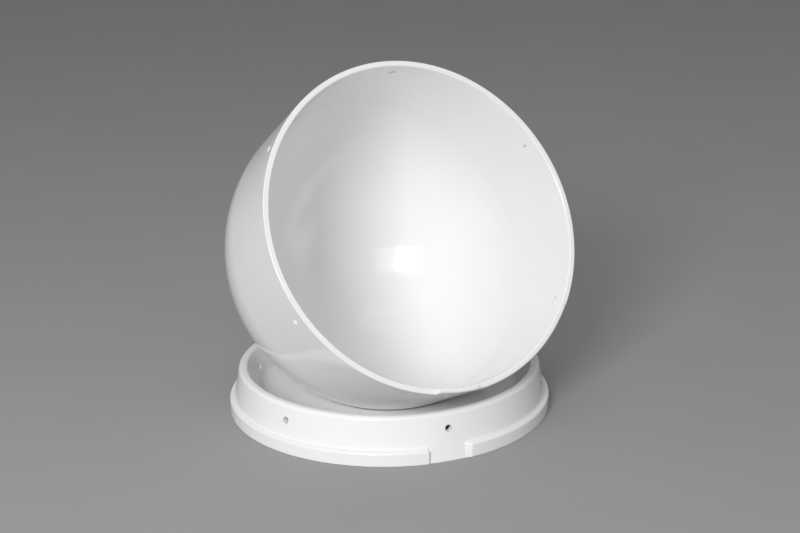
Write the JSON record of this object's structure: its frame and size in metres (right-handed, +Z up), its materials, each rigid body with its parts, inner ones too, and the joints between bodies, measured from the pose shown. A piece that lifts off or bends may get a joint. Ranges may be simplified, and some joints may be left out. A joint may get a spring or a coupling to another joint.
{
  "type": "radar dome",
  "caption": "Opened marine radome: a white gelcoated fibreglass dome stands tilted, mouth out, in its round base tray, which has a screw collar and a stepped foot.",
  "frame": {"origin": "middle of the outline seen from above, at the surface that the base stands on", "axes": "+Z up, along the base axis; the open mouth of the dome looks towards -Y and a little to +X"},
  "size_m": [0.3396, 0.3276, 0.3395],
  "materials": {
    "base_gelcoat": "white gelcoat over glass fibre",
    "dome_gelcoat": "white gelcoat over glass fibre",
    "backing_plate": "mill",
    "spacer_nylon": "moulded",
    "bush_zinc": "zinc plated"
  },
  "bodies": {
    "base": {"base_shell": "base_gelcoat", "spacer_tube_1": "spacer_nylon", "spacer_tube_2": "spacer_nylon", "spacer_tube_3": "spacer_nylon", "spacer_tube_4": "spacer_nylon", "spacer_tube_5": "spacer_nylon", "spacer_tube_6": "spacer_nylon", "backing_ring": "backing_plate", "threaded_bush_1": "bush_zinc", "threaded_bush_2": "bush_zinc", "threaded_bush_3": "bush_zinc", "threaded_bush_4": "bush_zinc"},
    "dome": {"dome_shell": "dome_gelcoat"}
  },
  "joints": [
    {"name": "dome_lift", "type": "slide", "parent": "base", "child": "dome", "axis": [0, 0, 1], "range_m": [0, 0.32]}
  ]
}
